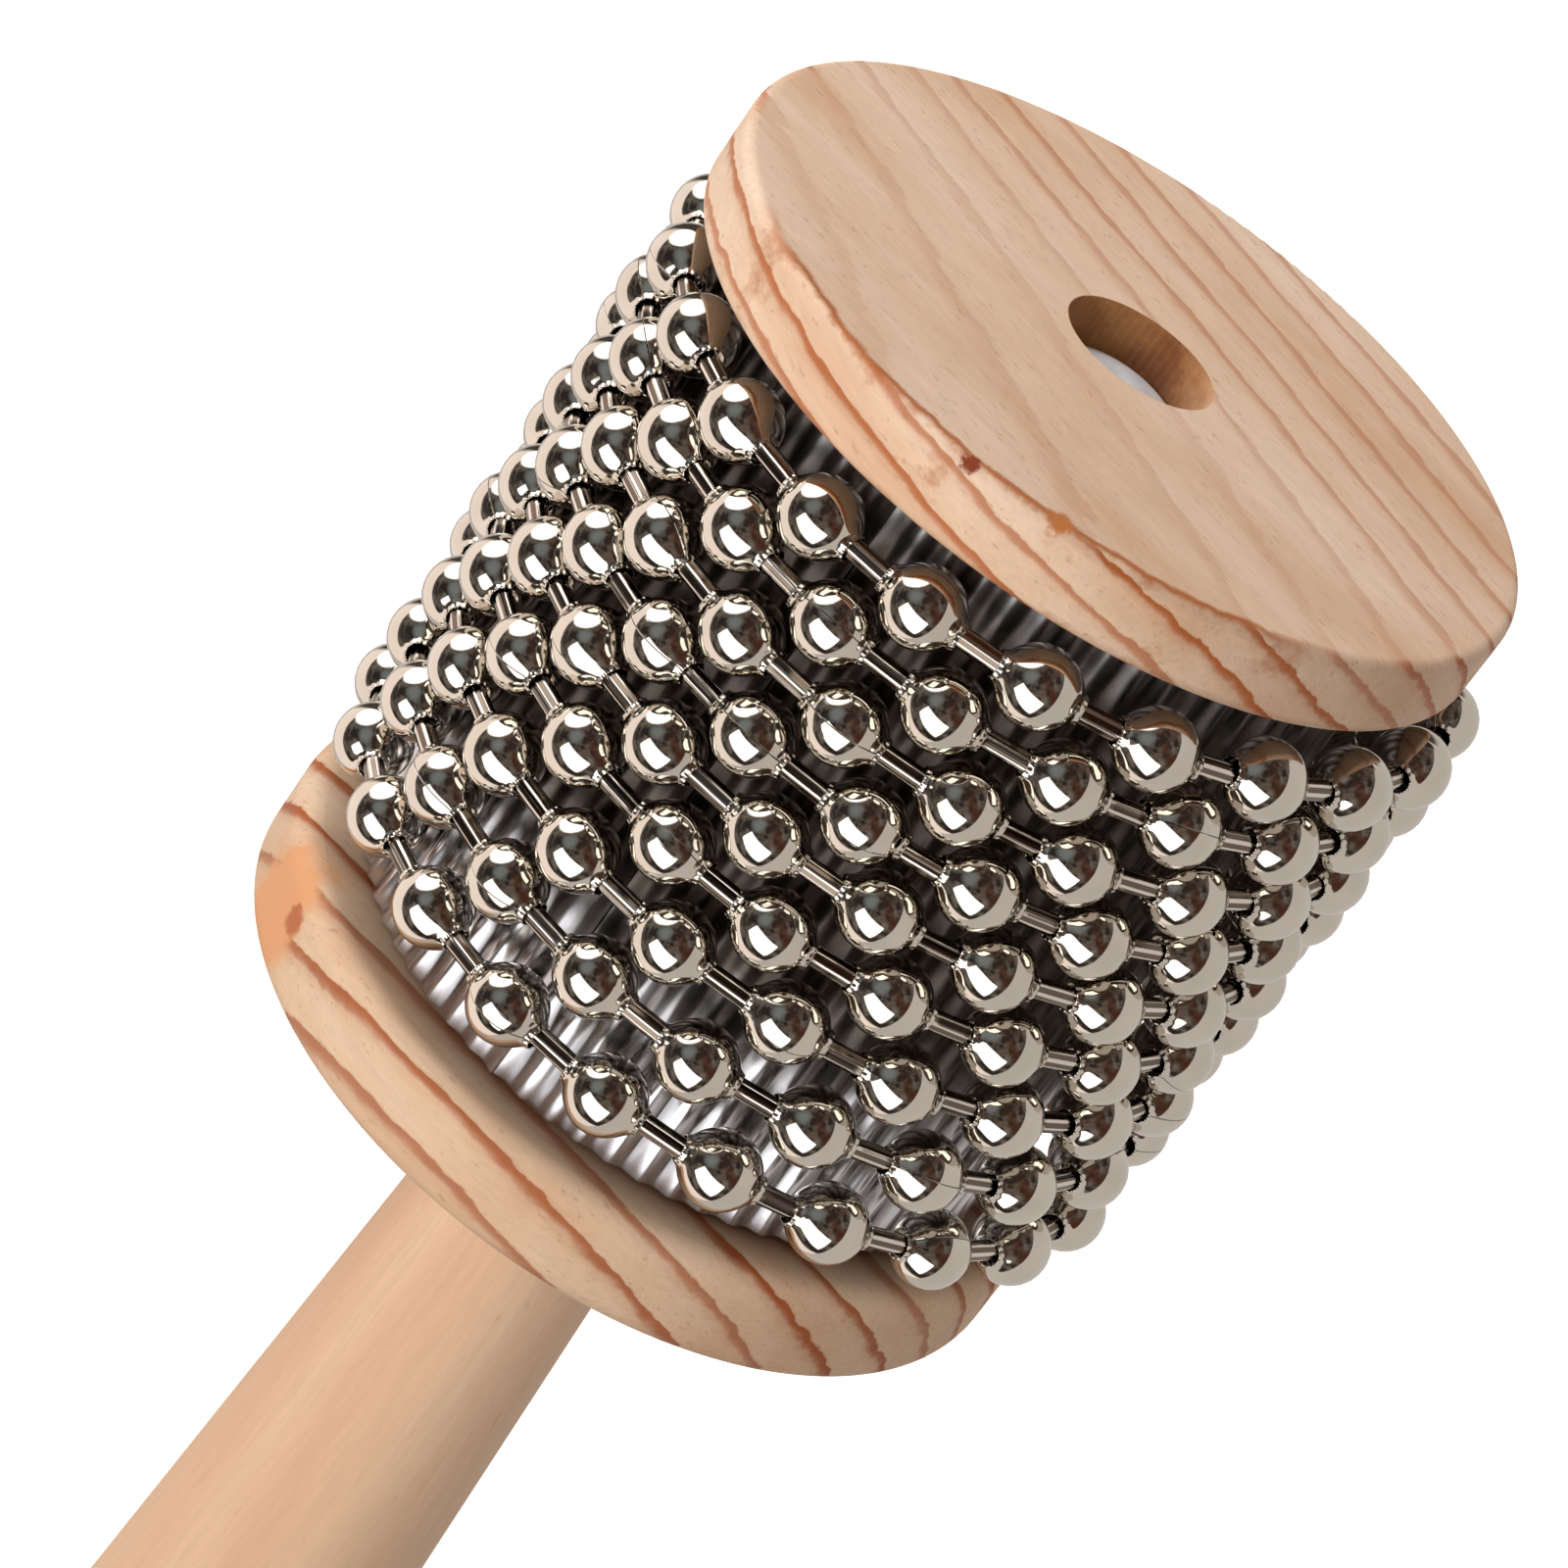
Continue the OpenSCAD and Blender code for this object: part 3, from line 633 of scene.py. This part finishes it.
# Rectangular softbox on a plane ahead of the drum, inside four edges, each with its inward way and place
ahead, u, v = [add(tree, "VectorMath", {0: towards, 1: way}, operation="DOT_PRODUCT").outputs["Value"]
               for way in ((-0.252, -0.902, -0.351), (0.966, -0.191, -0.174), (0.090, -0.383, 0.919))]
u, v = [add(tree, "Math", {0: part, 1: ahead}, operation="DIVIDE").outputs[0] for part in (u, v)]
plane = add(tree, "CombineXYZ", {"X": u, "Y": v}).outputs[0]
box = add(tree, "Math", {0: ahead, 1: 0.1}, operation="GREATER_THAN").outputs[0]
for inward, edge in (((1, 0, 0), -0.72), ((0, -1, 0), -0.41),
                     ((0.26, 1, 0), -0.395), ((-1, 0.337, 0), -0.774)):
    reach = add(tree, "VectorMath", {0: plane, 1: inward}, operation="DOT_PRODUCT").outputs["Value"]
    inside = add(tree, "MapRange", {"Value": reach, "From Min": edge - 0.04, "From Max": edge + 0.04},
                 interpolation_type="SMOOTHSTEP").outputs[0]
    box = add(tree, "Math", {0: box, 1: inside}, operation="MULTIPLY").outputs[0]

# What else is round the drum: each has its direction, the cosine at which it begins and its softness
seen = {}
for name, way, edge, soft in (("round_softbox", (-0.687, 0.227, 0.690), 0.885, 0.03),
                              ("glow", (-0.599, -0.613, 0.515), 0.955, 0.05),
                              ("table", (0.754, 0.598, -0.271), 0.2, 0.012),
                              ("table_end", (0.542, -0.432, -0.721), -0.6, 0.1),
                              ("sheet", (0.091, 0.883, -0.461), 0.07, 0.03),
                              ("doorway", (0.0, 0.95, 0.31), 0.77, 0.06),
                              ("warm_side", (0.835, 0.184, 0.518), 0.0, 0.6)):
    reach = add(tree, "VectorMath", {0: towards, 1: way}, operation="DOT_PRODUCT").outputs["Value"]
    seen[name] = add(tree, "MapRange", {"Value": reach, "From Min": edge - soft, "From Max": edge + soft},
                     interpolation_type="SMOOTHSTEP").outputs[0]
table = add(tree, "Math", {0: seen["table"], 1: seen["table_end"]}, operation="MULTIPLY").outputs[0]
patches = add(tree, "TexNoise", {"Vector": towards, "Scale": 1.8, "Detail": 1, "Roughness": 0.5}).outputs[0]
patchy = add(tree, "MapRange", {"Value": patches, "From Min": 0.35, "From Max": 0.7}).outputs[0]
warm = add(tree, "Math", {0: seen["warm_side"], 1: patchy}, operation="MULTIPLY").outputs[0]
shapes = add(tree, "TexNoise", {"Vector": towards, "Scale": 3.0, "Detail": 2, "Roughness": 0.5}).outputs[0]
colour = add(tree, "ValToRGB", {"Fac": shapes},
             ramp=[(0.42, linear("312D2A")), (0.64, linear("7A726B"))]).outputs[0]
for share, tint in ((warm, linear("4F3024")), (seen["glow"], linear("7E8486")),
                    (seen["sheet"], [1.14, 1.0, 0.92, 1]), (seen["doorway"], linear("4A4540")),
                    (table, [0.62, 0.58, 0.55, 1])):
    colour = add(tree, "Mix", {"Factor": share, "A": colour, "B": tint}, data_type="RGBA").outputs[2]
either = add(tree, "Math", {0: box, 1: seen["round_softbox"]}, operation="MAXIMUM").outputs[0]
softbox_strength = 2.4
lamps = add(tree, "Math", {0: either, 1: softbox_strength}, operation="MULTIPLY").outputs[0]
mirrored = add(tree, "Background", {"Color": colour})
shine = add(tree, "Background", {"Color": linear("FFFFFF"), "Strength": lamps})
metal_sees = add(tree, "AddShader", {0: mirrored.outputs[0], 1: shine.outputs[0]})
paths = add(tree, "LightPath").outputs
fill = add(tree, "Background", {"Color": linear("FFFAF5"), "Strength": 0.35})
white = add(tree, "Background", {"Color": linear("FFFFFF")})
lit = add(tree, "MixShader", {0: paths["Is Glossy Ray"], 1: fill.outputs[0], 2: metal_sees.outputs[0]})
shown = add(tree, "MixShader", {0: paths["Is Camera Ray"], 1: lit.outputs[0], 2: white.outputs[0]})
tree.links.new(shown.outputs[0], tree.nodes["World Output"].inputs["Surface"])
